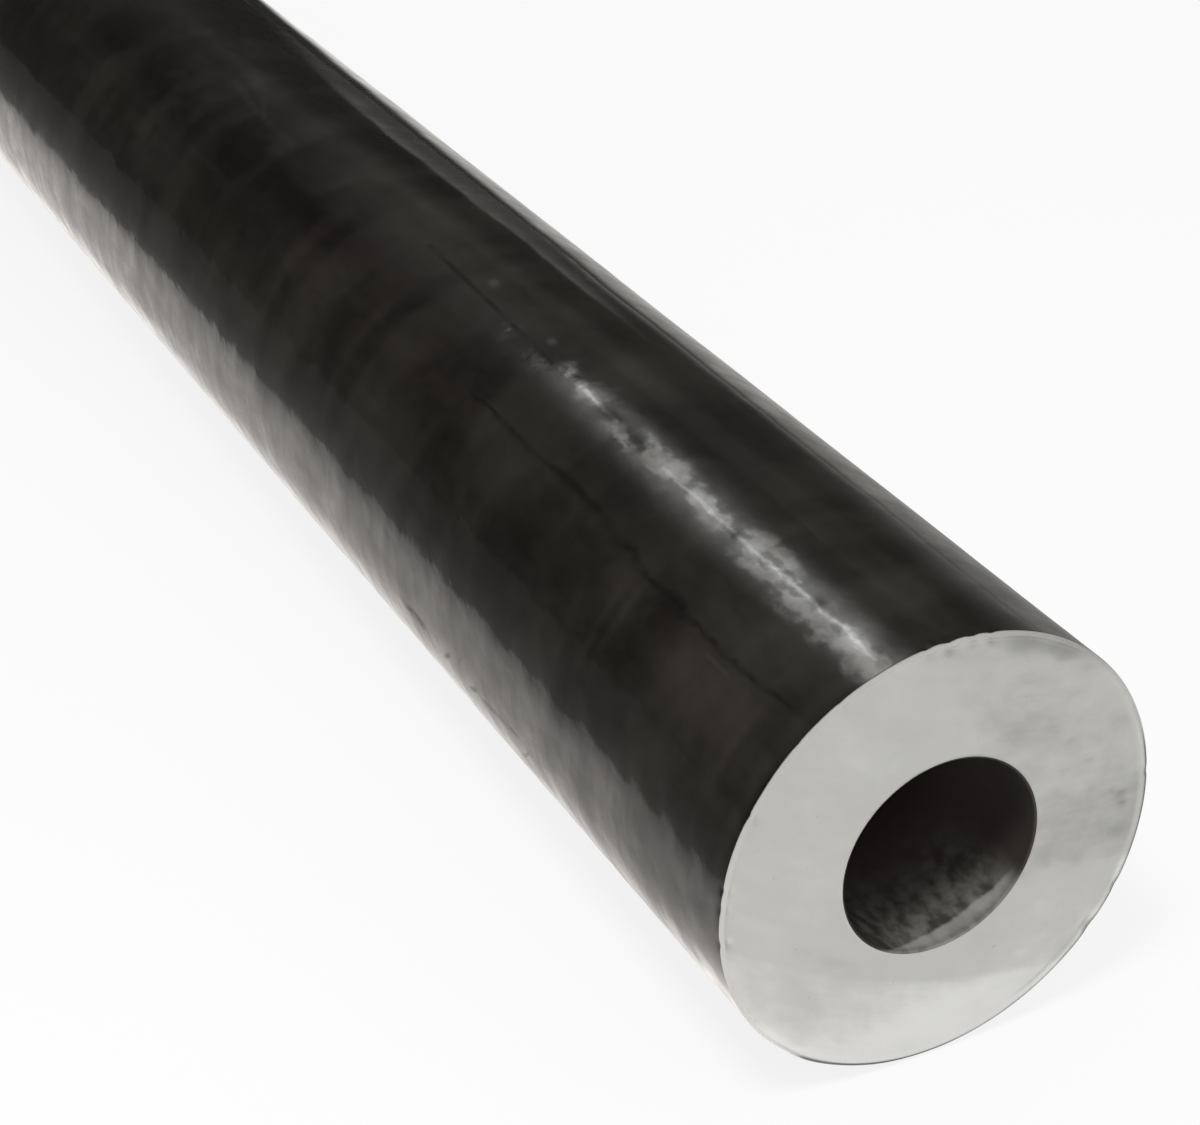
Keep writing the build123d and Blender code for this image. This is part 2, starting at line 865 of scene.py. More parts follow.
        bright = graph.blend(graph.ramp(at.veins, self.bright_by_veins), pale, self.rubbed)
        colour = graph.blend(graph.product(wear, wear), colour, bright)
        colour = graph.blend(groove, colour, self.soot)
        rusty = graph.product(graph.attribute("rust"), graph.ramp(at.mottle, self.rust_by_mottle))
        return graph.blend(rusty, colour, self.rust)

    def film(self, graph: Graph, at: SkinPlace, groove: Socket) -> Socket:
        """How much of the oil film lies at a point: less in a groove and where it is soiled.

        Args:
            graph: the material's graph.
            at: the point.
            groove: how dark a groove is there, from 0 to 1.

        Returns:
            The film's weight.
        """
        return graph.product(
            graph.ramp(at.clouds, self.film_by_clouds),
            graph.ramp(at.flames, self.film_by_flames),
            graph.ramp(at.wander, self.film_by_wander),
            graph.span(groove, 1.0, self.film_in_groove),
            graph.span(graph.attribute("soil"), 1.0, self.film_on_soil),
        )

    def flow(self, graph: Graph, at: SkinPlace) -> Socket:
        """The film's own waviness: it is wavier down the -Y side, and nearly flat past the top.

        Args:
            graph: the material's graph.
            at: the point.

        Returns:
            The film's normal.
        """
        low_side = graph.product(
            graph.ramp(at.turn, self.flow_low_side),
            graph.ramp(at.turn, self.flow_at_foot),
        )
        share = graph.total(self.flow_everywhere, graph.ramp(at.turn, self.flow_near_side), low_side)
        rippled = graph.raise_by(graph.product(at.ripple, share), self.flow_ripple)
        return graph.raise_by(graph.product(at.mottle, share), self.flow_mottle, rippled)

    def material(self) -> bpy.types.Material:
        """Builds the finish.

        Returns:
            The material.
        """
        made, graph = blank_material("oiled_mill_scale")
        at = self.read(graph)
        groove = self.groove(graph, at)
        worn = graph.product(graph.attribute("wear"), graph.ramp(at.flames, self.wear_by_flames))
        wear = graph.ramp(worn, self.wear_edge)
        rough = graph.span(at.clouds, *self.rough_scale)
        bumps = graph.raise_by(at.mottle, self.bump_mottle)
        graph.dress({
            "Base Color": self.colour(graph, at, wear, groove),
            "Metallic": graph.product(wear, self.metal_where_worn),
            "Roughness": graph.span(wear, rough, self.rough_where_worn),
            "IOR": self.oil_ior,
            "Specular IOR Level": self.scale_glint,
            "Normal": graph.raise_by(at.grain, self.bump_grain, bumps),
            "Coat Weight": self.film(graph, at, groove),
            "Coat Roughness": self.film_gloss,
            "Coat IOR": self.oil_ior,
            "Coat Normal": self.flow(graph, at),
        })
        return made


@dataclass(frozen=True)
class SawCut:
    """The arcs that the blade leaves on a sawn face: z = drop + slope y + bend y^2, in millimetres.

    The arcs are all alike and differ in drop alone, which is the distance across them.
    """

    slope: float = -0.314
    bend: float = 0.00395
    step_drop: float = -33.3

    def across(self, y: np.ndarray, z: np.ndarray) -> np.ndarray:
        """The drop of the arc that passes through each point: z - slope y - bend y^2."""
        return z - self.slope * y - self.bend * y * y


@dataclass(frozen=True)
class SawnSteel:
    """Bare steel as the saw leaves it: light, matt, clouded, with fine arcs across the face."""

    sizes: TubeSizes
    cut: SawCut = SawCut()
    light: Triple = (0.760, 0.755, 0.735)
    middle: Triple = (0.560, 0.555, 0.530)
    shade: Triple = (0.330, 0.326, 0.308)
    # black: painted shade, for the rim's chamfer at the foot
    black: Triple = (0.100, 0.097, 0.090)
    dull: float = 0.55
    glossy: float = 0.40
    metal_at_rim: float = 0.25
    clouds: Cloud = Cloud(75.0, 4.0, 0.55, 0.0, (1.0, 0.7, 1.0))
    smears: Cloud = Cloud(230.0, 3.0, 0.55, 0.0, (1.0, 0.7, 1.0))
    lines: Cloud = Cloud(800.0, 3.0, 0.75, 0.0, (1.0, 0.06, 1.0))
    pits: Cloud = Cloud(520.0, 2.0, 0.6)
    shade_by_clouds: float = 0.35
    shade_by_smears: float = 0.25
    shade_by_lines: float = 0.10
    to_shade: Ramp = Ramp(0.0, -1.0)
    to_light: Ramp = Ramp(0.0, 1.0)
    # painted shade: where the rim's shade is darkest, it goes towards black
    rim_shade_to_black: Ramp = Ramp(-0.35, -0.90)
    pit_edge: Ramp = Ramp(0.70, 0.78, 0.0, 0.35)
    bump_lines: float = 0.010
    bump_smears: float = 0.03
    bump_pits: float = -0.05

    def material(self) -> bpy.types.Material:
        """Builds the finish. Its noises but the pits are read across and along the saw's arcs.

        Returns:
            The material.
        """
        made, graph = blank_material("sawn_steel")
        at = graph.place()
        level = graph.math("SUBTRACT", at.z, self.sizes.outer_radius * METRES)
        bent = graph.product(at.y, at.y, -self.cut.bend * PER_METRE)
        across = graph.total(level, graph.product(at.y, -self.cut.slope), bent)
        sawn = graph.stack(at.x, at.y, across)
        clouds = graph.noise(sawn, self.clouds)
        smears = graph.noise(sawn, self.smears)
        lines = graph.noise(sawn, self.lines)
        pitted = graph.ramp(graph.noise(at.position, self.pits), self.pit_edge)
        edge, shade = graph.attribute("edge"), graph.attribute("shade")

        # the shade attribute carries painted light and shade on the front face and its rim, besides its tones
        clouded = graph.total(
            shade,
            graph.sway(clouds, self.shade_by_clouds),
            graph.sway(smears, self.shade_by_smears),
            graph.sway(lines, self.shade_by_lines),
        )
        colour = graph.blend(graph.ramp(clouded, self.to_shade), self.middle, self.shade)
        colour = graph.blend(graph.ramp(clouded, self.to_light), colour, self.light)
        colour = graph.blend(pitted, colour, self.shade)
        # painted shade: the rim's chamfer goes towards black at the foot
        colour = graph.blend(graph.product(edge, graph.ramp(shade, self.rim_shade_to_black)), colour, self.black)

        normal = graph.raise_by(lines, self.bump_lines)
        normal = graph.raise_by(smears, self.bump_smears, normal)
        normal = graph.raise_by(pitted, self.bump_pits, normal)
        graph.dress({
            "Base Color": colour,
            "Metallic": graph.span(edge, 1.0, self.metal_at_rim),
            "Roughness": graph.span(clouds, self.dull, self.glossy),
            "Normal": normal,
        })
        return made


@dataclass(frozen=True)
class BoreScale:
    """Dull dark scale in the bore, speckled where it has flaked. Painted light lies on it: a pool of light on
    the lower wall at the mouth, lighter flakes near the mouth, and a lighter depth.
    """

    sizes: TubeSizes
    black: Triple = (0.040, 0.034, 0.031)
    # deep: painted light, lighter deep in the bore
    deep: Triple = (0.105, 0.084, 0.078)
    grey: Triple = (0.190, 0.184, 0.165)
    # mouth_light and its ramps: painted light, the pool of light on the lower wall at the mouth
    mouth_light: Triple = (0.33, 0.321, 0.302)
    mouth_light_way: Triple = (-1.0, 0.20, -0.50)
    mouth_light_from: float = 7.5
    mouth_light_fray: float = 0.8
    mouth_light_edge: Ramp = Ramp(-0.6, 0.7)
    mouth_light_by_level: Ramp = Ramp(-10.5, -17.0)
    mouth_light_by_depth: Ramp = Ramp(0.6, 3.0, 0.52, 1.0)
    mouth_light_by_blots: Ramp = Ramp(0.36, 0.62, 0.80, 1.06)
    mouth_light_by_edge: Ramp = Ramp(4.5, 0.8, 0.82, 1.0)
    speckle: Cloud = Cloud(420.0, 3.0, 0.55, 0.0, (0.7, 1.0, 1.0))
    blots: Cloud = Cloud(230.0, 3.0, 0.55, 0.0, (0.7, 1.0, 1.0))
    # lit_flakes: flaked scale, painted lighter on the lower wall near the mouth, where light falls in
    lit_flakes_by_side: Ramp = Ramp(-17.0, -3.0)
    lit_flakes_deeper: Ramp = Ramp(4.0, 10.0, 0.0, 0.8)
    lit_flakes_by_level: Ramp = Ramp(-8.5, -20.0)
    lit_flakes_by_depth: Ramp = Ramp(40.0, 9.0)
    lit_flakes_by_blots: Ramp = Ramp(0.34, 0.66, 0.10, 1.0)
    lit_flakes_by_speckle: Ramp = Ramp(0.5, 0.75, 0.0, 0.15)
    deep_light_from_ends: Ramp = Ramp(6.0, 36.0)
    rough: Pair = (0.5, 0.75)
    glint: float = 0.3
    bump: float = 0.15

    def material(self) -> bpy.types.Material:
        """Builds the finish.

        The painted pool of light lies low on the wall, where the wall is further out in one direction than a
        slanting plane:
        its edge is straight, as the edge of a shadow, and it reaches deepest right of the middle. It is
        strongest along that edge and fainter towards the mouth.

        Returns:
            The material.
        """
        made, graph = blank_material("bore_scale")
        at = graph.place()
        depth = graph.math("MULTIPLY_ADD", at.x, -PER_METRE, self.sizes.length / 2)
        side = graph.math("MULTIPLY", at.y, PER_METRE)
        level = graph.math("MULTIPLY_ADD", at.z, PER_METRE, -self.sizes.outer_radius)
        speckle = graph.noise(at.position, self.speckle)
        blots = graph.noise(at.position, self.blots)
        way = (graph.math("MULTIPLY", run, share) for run, share in zip((depth, side, level), self.mouth_light_way))
        within = graph.total(*way, -self.mouth_light_from)
        # painted light: the pool that falls on the lower wall at the mouth, cut off straight by the upper
        # rim's shadow
        lit_mouth = graph.product(
            graph.ramp(graph.total(within, graph.sway(blots, self.mouth_light_fray)), self.mouth_light_edge),
            graph.ramp(level, self.mouth_light_by_level),
            graph.ramp(depth, self.mouth_light_by_depth),
            graph.ramp(blots, self.mouth_light_by_blots),
            graph.ramp(within, self.mouth_light_by_edge),
        )
        # flaked scale painted lighter where light falls in at the mouth, fading deeper in
        beside = graph.ramp(side, self.lit_flakes_by_side)
        open_side = graph.math("MAXIMUM", beside, graph.ramp(depth, self.lit_flakes_deeper))
        lower = graph.product(graph.ramp(level, self.lit_flakes_by_level), open_side)
        near = graph.ramp(depth, self.lit_flakes_by_depth)
        lit_flakes = graph.total(
            graph.product(graph.ramp(blots, self.lit_flakes_by_blots), lower, near),
            graph.product(graph.ramp(speckle, self.lit_flakes_by_speckle), lower),
        )
        # painted light: the bore is lighter further from its ends
        from_ends = graph.math("MINIMUM", depth, graph.math("SUBTRACT", self.sizes.length, depth))
        deep = graph.blend(graph.ramp(from_ends, self.deep_light_from_ends), self.black, self.deep)
        graph.dress({
            "Base Color": graph.blend(lit_mouth, graph.blend(lit_flakes, deep, self.grey), self.mouth_light),
            "Roughness": graph.span(speckle, *self.rough),
            "Specular IOR Level": self.glint,
            "Normal": graph.raise_by(speckle, self.bump),
        })
        return made


@dataclass(frozen=True)
class Relief:
    """How deep the marks are pressed in, in millimetres, and the waves that roughen the skin and the bore.

    A lift is added to waves, so that nearly all of them lie below the true surface.
    """

    roll_ring: float = 0.03
    slow: float = 0.034
    slow_waves: Waves = Waves(14, 170.0, 50.0, 0)
    quick: float = 0.012
    quick_low_down: float = 0.046
    quick_waves: Waves = Waves(26, 34.0, 12.0, 1)
    skin_lift: float = 1.5
    nick: float = 0.6
    bore: float = 0.06
    bore_waves: Waves = Waves(22, 60.0, 7.0, 5)
    bore_lift: float = 2.0
    bore_starts: float = 4.0
    ripple: float = 0.005
    ripple_count: int = 14
    ripple_lengths: Pair = (2.2, 9.0)
    ripple_seed_steps: tuple[int, int] = (3, 4)
    step: float = 0.10
    step_half_width: float = 0.8
    bevel: float = 0.7
    bevel_width: float = 4.4
    bevel_wave: float = 0.12
    bevel_waves_round: float = 24.0
    scuff: float = 0.12


@dataclass(frozen=True)
class FaceTones:
    """How much lighter each region makes the front face and its rim, or darker where it is negative."""

    plain: float = 0.07
    lower: float = 0.28
    # foot: painted reflection of the floor, lighter towards the bottom of the face
    foot: float = 0.45
    # burr_highlight: a painted highlight along the right and lower rim, where the burr catches light
    burr_highlight: float = 0.6
    above_step: float = -0.15
    scuff: float = -0.20
    # bevel: painted shade on the tilted bevel, over its real dent
    bevel: float = -0.62
    bevel_power: float = 0.8
    # upper_right: painted shade, darker towards the upper right
    upper_right: float = -0.34
    groove: float = -0.5
    rim: float = 0.1
    # rim_low, rim_foot and rim_upper_right: painted shade on the rim's chamfer below, at the foot and at the
    # upper right
    rim_low: float = -0.95
    rim_foot: float = -1.4
    rim_upper_right: float = -0.5


@dataclass(frozen=True)
class SkinTones:
    """How the painted shadow beside the front rim and plain soiling change the skin, on a scale from 0 to 1.
    """

    # painted shadow beside the front rim: its width, and how it darkens, warms and dulls the skin there
    border_width: float = 2.0
    painted_shadow_tone: float = -0.45
    painted_shadow_warmth: float = 0.6
    painted_shadow_dulling: float = 0.55
    soil_everywhere: float = 0.16


@dataclass
class Tube:
    """The tube: its wall's profile, the relief on it, its mesh and its finishes."""

    sizes: TubeSizes
    relief: Relief = Relief()
    face_tones: FaceTones = FaceTones()
    skin_tones: SkinTones = SkinTones()
    segments: int = 320
    skin_rings: int = 190
    front_face_rings: int = 38
    back_face_rings: int = 20
    bore_rings: int = 40
    break_rings: int = 5
    skin_gather: float = 1.7
    bore_gather: float = 2.2
    seed: int = 11
    cut: SawCut = SawCut()
    rubbed_spots: tuple[Blot, ...] = (
        Blot(4.0, 70.0, 5.0, 4.8, 1.2),
        Blot(7.0, 67.0, 3.0, 2.4, 0.6),
        Blot(14.0, 70.5, 8.0, 4.8, 0.8),
        Blot(24.0, 70.0, 8.0, 5.8, 0.85),
        Blot(36.0, 70.4, 8.0, 5.6, 0.85),
        Blot(47.0, 73.5, 7.0, 5.4, 1.0),
        Blot(56.0, 73.0, 6.0, 5.6, 1.1),
        Blot(58.0, 69.0, 6.0, 2.2, 0.5),
        Blot(70.0, 73.0, 10.0, 4.2, 0.75),
        Blot(84.0, 73.4, 10.0, 4.4, 0.75),
        Blot(98.0, 75.0, 8.0, 4.8, 1.0),
        Blot(103.0, 75.0, 5.0, 4.6, 0.5),
        Blot(112.0, 77.5, 4.0, 1.8, 0.5),
        Blot(114.0, 71.0, 5.0, 3.2, 0.8),
        Blot(125.0, 74.0, 9.0, 3.8, 0.65),
        Blot(140.0, 75.0, 7.0, 4.0, 0.8),
        Blot(150.0, 76.5, 6.0, 3.4, 0.8),
    )
    film_spots: tuple[Blot, ...] = (
        Blot(3.0, 73.0, 4.0, 2.5, 0.7),
        Blot(29.0, 73.0, 2.0, 2.0),
        Blot(62.0, 72.3, 1.6, 1.6),
        Blot(70.0, 72.5, 1.2, 1.6),
        Blot(107.0, 73.5, 9.0, 2.5),
        Blot(124.0, 74.5, 9.0, 2.5),
        Blot(158.0, 76.0, 9.0, 3.0),
        Blot(9.0, 4.0, 7.0, 4.0, -0.12),
        Blot(17.0, 7.0, 4.0, 4.0, 0.12),
        Blot(50.0, 3.0, 7.0, 5.0, -0.12),
        Blot(57.0, -4.0, 5.0, 4.0, 0.10),
        Blot(80.0, 8.5, 13.0, 3.5, 0.20),
        Blot(82.0, -10.0, 7.0, 3.0, 0.10),
        Blot(105.0, 4.5, 7.0, 5.0, -0.14),
        Blot(161.0, 3.0, 8.0, 6.0, -0.14),
        Blot(206.0, 0.0, 8.0, 5.0, -0.12),
    )
    pale_spots: tuple[Blot, ...] = (
        Blot(30.0, 32.0, 34.0, 9.0, 0.20),
        Blot(30.0, 87.0, 34.0, 8.0, 0.30),
        Blot(205.0, 48.0, 100.0, 14.0, 0.22),
        Blot(410.0, 40.0, 70.0, 13.0, 0.28),
        Blot(375.0, 88.0, 50.0, 12.0, -0.50),
        Blot(270.0, 98.0, 50.0, 4.0, -0.40),
        Blot(450.0, 103.0, 55.0, 12.0, -0.40),
        Blot(35.0, 59.5, 42.0, 8.0, 0.28),
        Blot(30.0, 43.0, 27.0, 7.0, 0.30),
        Blot(57.0, 44.0, 5.0, 10.0, -0.18),
        Blot(74.0, 44.0, 12.0, 7.0, 0.28),
        Blot(100.0, 43.0, 14.0, 8.0, 0.12),
        Blot(115.0, 38.0, 10.0, 9.0, -0.12),
        Blot(150.0, 31.0, 22.0, 5.0, -0.06),
        Blot(188.0, 53.0, 30.0, 16.0, -0.20),
        Blot(196.0, 33.0, 20.0, 6.0, 0.15),
        Blot(225.0, 47.0, 10.0, 24.0, -0.16),
        Blot(283.0, 60.0, 42.0, 9.0, -0.26),
        Blot(285.0, 29.0, 50.0, 7.0, 0.20),
        Blot(238.0, 83.0, 60.0, 8.0, 0.26),
        Blot(144.0, 89.0, 18.0, 7.0, 0.26),
        Blot(377.0, 82.0, 13.0, 8.0, 0.50),
        Blot(350.0, 61.0, 28.0, 12.0, -0.36),
        Blot(404.0, 63.0, 22.0, 13.0, -0.34),
        Blot(450.0, 65.0, 24.0, 12.0, -0.26),
    )
    warm_spots: tuple[Blot, ...] = (
        Blot(31.0, 43.0, 26.0, 7.0, 0.26),
        Blot(57.0, 44.0, 5.0, 9.0, 0.24),
        Blot(74.0, 44.0, 12.0, 7.0, 0.30),
        Blot(100.0, 43.0, 15.0, 8.0, 0.24),
        Blot(188.0, 53.0, 30.0, 16.0, 0.40),
        Blot(225.0, 47.0, 10.0, 24.0, 0.40),
        Blot(283.0, 60.0, 45.0, 9.0, 0.50),
        Blot(280.0, 45.0, 60.0, 8.0, 0.30),
        Blot(377.0, 82.0, 13.0, 7.0, 0.40),
        Blot(345.0, 82.0, 20.0, 7.0, 0.40),
        Blot(350.0, 61.0, 28.0, 12.0, 0.50),
        Blot(404.0, 63.0, 22.0, 13.0, 0.50),
        Blot(450.0, 65.0, 24.0, 12.0, 0.40),
        Blot(35.0, 59.0, 38.0, 8.0, -0.35),
        Blot(115.0, 38.0, 10.0, 9.0, -0.30),
        Blot(138.0, 43.0, 18.0, 6.0, -0.30),
        Blot(150.0, 31.0, 22.0, 6.0, -0.30),
        Blot(196.0, 33.0, 20.0, 7.0, -0.30),
        Blot(285.0, 29.0, 50.0, 7.0, -0.40),
        Blot(245.0, 83.0, 80.0, 8.0, -0.35),
    )
    rust_spots: tuple[Blot, ...] = (
        Blot(175.0, -14.0, 26.0, 1.6, 0.9),
        Blot(225.0, -15.0, 8.0, 1.5, 0.8),
    )
    rim_nicks: tuple[Blot, ...] = (
        Blot(0.5, 99.0, 1.6, 1.1, 0.5),
        Blot(0.5, 94.0, 1.4, 0.9, 0.6),
        Blot(0.5, 88.0, 1.8, 1.5, 0.7),
        Blot(0.5, 82.5, 1.2, 0.9, 0.5),
        Blot(0.5, 60.0, 1.0, 0.9, 0.3),
        Blot(0.5, 47.0, 1.0, 0.8, 0.3),
        Blot(0.5, 28.0, 1.3, 1.0, 0.5),
        Blot(0.5, 9.0, 1.2, 0.9, 0.4),
        Blot(0.5, 4.0, 1.0, 0.9, 0.4),
        Blot(0.5, -5.5, 1.4, 1.1, 0.5),
        Blot(0.5, 206.0, 1.4, 1.6, 0.5),
        Blot(0.5, 218.0, 1.6, 2.2, 0.6),
        Blot(0.5, 174.0, 1.2, 1.0, 0.4),
    )
    face_smudges: tuple[Smudge, ...] = (
        # the first spot is painted reflection of the floor, lighter at the bottom of the face
        Smudge(3.0, -44.0, 18.0, 6.0, 0.28),
        Smudge(46.8, 1.6, 1.8, 0.8, -0.42),
        Smudge(47.4, -0.9, 1.2, 0.9, -0.50),
        Smudge(44.4, 3.0, 1.8, 0.5, -0.28),
        Smudge(37.0, 13.5, 1.6, 0.6, -0.30),
        Smudge(31.5, 20.0, 2.4, 0.8, -0.22),
        Smudge(46.4, -7.7, 2.4, 1.6, -0.25),
        Smudge(16.8, 28.3, 5.5, 2.0, -0.10),
        Smudge(-22.0, 30.0, 12.0, 10.0, 0.10),
        Smudge(-31.0, -29.0, 10.0, 8.0, -0.22),
        # the last two spots are painted highlights where the burr at the lower right catches light
        Smudge(42.0, -32.0, 3.5, 3.0, 0.40),
        Smudge(48.5, -20.0, 2.4, 5.0, 0.40),
    )
    scale: MillScale = field(init=False)
    bare: SawnSteel = field(init=False)
    bore: BoreScale = field(init=False)

    def __post_init__(self) -> None:
        """Chooses the finishes."""
        self.scale = MillScale(self.sizes)
        self.bare = SawnSteel(self.sizes, self.cut)
        self.bore = BoreScale(self.sizes)

    @property
    def face_edge(self) -> float:
        """How far from the axis the flat of an end face stops, at the broken edge."""
        return self.sizes.outer_radius - self.sizes.outer_break

    def profile(self) -> tuple[np.ndarray, np.ndarray, np.ndarray]:
        """The cut through the wall, as a closed loop of points.

        The loop runs along the skin from the front end to the back, down the back face, along the bore to the
        front and up the front face. On the skin and in the bore the points lie close together at the front
        end and further apart towards the back: x falls with a power of the share of the way.

        Returns:
            The points' x, their distance from the axis, and the zone of the stretch that each one starts.
        """
        half = self.sizes.length / 2
        outer, inner = self.sizes.outer_radius, self.sizes.bore_radius
        rim, mouth = self.sizes.outer_break, self.sizes.bore_break
        skin_share = np.linspace(0.0, 1.0, self.skin_rings, endpoint=False) ** self.skin_gather
        bore_share = np.linspace(1.0, 0.0, self.bore_rings, endpoint=False) ** self.bore_gather
        break_share = np.linspace(0.0, 1.0, self.break_rings, endpoint=False)
        back_share = np.linspace(0.0, 1.0, self.back_face_rings, endpoint=False)
        front_share = np.linspace(0.0, 1.0, self.front_face_rings, endpoint=False)
        skin_reach, bore_reach = half - rim, half - mouth
        top, low = self.face_edge, inner + mouth
        stretches = {
            Zone.SKIN: (skin_reach * (1 - 2 * skin_share), np.full(self.skin_rings, outer)),
            Zone.BACK_RIM: (-skin_reach - rim * break_share, outer - rim * break_share),
            Zone.BACK_FACE: (np.full(self.back_face_rings, -half), top + (low - top) * back_share),
            Zone.BACK_MOUTH: (-half + mouth * break_share, low - mouth * break_share),
            Zone.BORE: (bore_reach * (1 - 2 * bore_share), np.full(self.bore_rings, inner)),
            Zone.FRONT_MOUTH: (bore_reach + mouth * break_share, inner + mouth * break_share),
            Zone.FRONT_FACE: (np.full(self.front_face_rings, half), low + (top - low) * front_share),
            Zone.FRONT_RIM: (half - rim * break_share, top + rim * break_share),
        }
        x = np.concatenate([stretches[zone][0] for zone in Zone])
        radius = np.concatenate([stretches[zone][1] for zone in Zone])
        zones = np.concatenate([np.full(len(stretches[zone][0]), zone.value) for zone in Zone])
        return x, radius, zones

    def waves(self, along: np.ndarray, turn: np.ndarray, waves: Waves) -> np.ndarray:
        """Seamless waviness: a sum of cosines, each of a random length along and of whole laps round.

        Args:
            along: distance along the tube, in millimetres.
            turn: angle round the axis, in degrees.
            waves: how many cosines, and how long they are.

        Returns:
            The height, which scatters about 0 with a standard deviation of 1.
        """
        rng = np.random.default_rng(self.seed + waves.seed_step)
        lengths = np.exp(rng.uniform(math.log(waves.shortest), math.log(waves.longest), waves.count))
        steepness = rng.uniform(-1.0, 1.0, waves.count)
        laps = np.rint(steepness * 2 * math.pi * self.sizes.outer_radius / lengths)
        phases = rng.uniform(0.0, 2 * math.pi, waves.count)
        total = np.zeros(np.broadcast(along, turn).shape)
        for length, lap, phase in zip(lengths, laps, phases):
            total += np.cos(2 * math.pi * along / length + lap * np.radians(turn) + phase)
        return total * math.sqrt(2.0 / waves.count)

    def spots(self, along: np.ndarray, turn: np.ndarray, blots: tuple[Blot, ...]) -> np.ndarray:
        """The sum of soft spots: each is its strength times a bell along times a bell round.

        Args:
            along: millimetres from the front end.
            turn: degrees round the axis.
            blots: the spots.

        Returns:
            The sum at each point.
        """
        total = np.zeros(np.broadcast(along, turn).shape)
        for blot in blots:
            aside = (turn - blot.turn_deg + 180.0) % 360.0 - 180.0
            spot = bell(along, blot.along, blot.half_length) * bell(aside, 0.0, blot.half_width_deg)
            total += blot.strength * spot
        return total

    def skin_depth(self, along: np.ndarray, turn: np.ndarray) -> np.ndarray:
        """How far the skin lies below its true radius, in millimetres.

        It is the sum of the rolls' ring marks, long and short waves and the rim's nicks. The short waves are
        highest low on the -Y side, where the skin has rested on others.

        Args:
            along: millimetres from the front end.
            turn: degrees round the axis.

        Returns:
            The depth, never negative.
        """
        deep = self.relief
        lap = 2 * math.pi * (along - self.scale.roll_phase) / self.scale.roll_pitch
        rings = deep.roll_ring * (1 + np.cos(lap)) / 2
        slow = deep.slow * (self.waves(along, turn, deep.slow_waves) + deep.skin_lift)
        low_down = smooth_step(62.0, 24.0, turn) * smooth_step(-90.0, -60.0, turn)
        worked = deep.quick + deep.quick_low_down * low_down
        quick = worked * (self.waves(along, turn, deep.quick_waves) + deep.skin_lift)
        nicks = deep.nick * self.spots(along, turn, self.rim_nicks)
        return np.clip(rings + slow + quick, 0.0, None) + nicks

    def bevel(self, radius: np.ndarray, turn: np.ndarray) -> np.ndarray:
        """Where a shallow bevel breaks the front face: a wavy crescent at the rim, top right.

        Args:
            radius: distance from the axis, in millimetres.
            turn: degrees round the axis.

        Returns:
            1 at the rim in the crescent's middle, falling to 0 at its inner edge.
        """
        deep = self.relief
        crescent = smooth_step(90.0, 106.0, turn) * smooth_step(138.0, 118.0, turn)
        wavy = 1.0 + deep.bevel_wave * np.sin(np.radians(turn) * deep.bevel_waves_round)
        width = deep.bevel_width * crescent * wavy
        return np.clip((radius - (self.face_edge - width)) / deep.bevel_width, 0.0, 1.0)

    def smudges(self, y: np.ndarray, z: np.ndarray, smudges: tuple[Smudge, ...]) -> np.ndarray:
        """The sum of soft spots on a face: each is its strength times a bell across times a bell up.

        Args:
            y: across the face, in millimetres from the axis.
            z: up the face, in millimetres from the axis.
            smudges: the spots.

        Returns:
            The sum at each point.
        """
        total = np.zeros(np.broadcast(y, z).shape)
        for smudge in smudges:
            spot = bell(y, smudge.across, smudge.half_width) * bell(z, smudge.up, smudge.half_height)
            total += smudge.strength * spot
        return total

    def scuff(self, y: np.ndarray, z: np.ndarray) -> np.ndarray:
        """Where the front face is scuffed darker: a patch right of the bore with a ragged lower edge.

        The edge is a line that falls to the right, broken by two waves of unlike length.

        Args:
            y: across the face, in millimetres from the axis.
            z: up the face, in millimetres from the axis.

        Returns:
            The scuff's strength, from 0 to 1.
        """
        ragged = 0.6 * np.sin(2 * math.pi * y / 9.7) + 0.35 * np.sin(2 * math.pi * y / 4.3 + 1.0)
        edge = -10.5 - 0.22 * (y - 24.0) + ragged
        below = smooth_step(-1.4, 1.4, z - edge)
        return below * smooth_step(15.0, 1.0, z) * smooth_step(20.0, 31.0, y)

    def face_depth(self, radius: np.ndarray, turn: np.ndarray, front: bool) -> np.ndarray:
        """How far an end face lies behind its true plane, in millimetres.

        The saw leaves ripples along its arcs, and one step where the cut was taken up again. The front face
        also has the bevel, the scuff and the rim's nicks.

        Args:
            radius: distance from the axis.
            turn: degrees round the axis.
            front: whether this is the end that is looked at.

        Returns:
            The depth, never negative.
        """
        deep = self.relief
        y, z = around(radius, turn)
        across = self.cut.across(y, z)
        front_step, back_step = deep.ripple_seed_steps
        rng = np.random.default_rng(self.seed + (front_step if front else back_step))
        lengths = rng.uniform(*deep.ripple_lengths, deep.ripple_count)
        phases = rng.uniform(0.0, 2 * math.pi, deep.ripple_count)
        depth = np.zeros(np.broadcast(radius, turn).shape)
        for length, phase in zip(lengths, phases):
            depth += deep.ripple * (1 + np.cos(2 * math.pi * across / length + phase))
        drop, half = self.cut.step_drop, deep.step_half_width
        depth += deep.step * smooth_step(drop - half, drop + half, across)
        if front:
            depth += deep.bevel * self.bevel(radius, turn) + deep.scuff * self.scuff(y, z)
            depth += self.spots(self.face_edge - radius, turn, self.rim_nicks)
        return depth

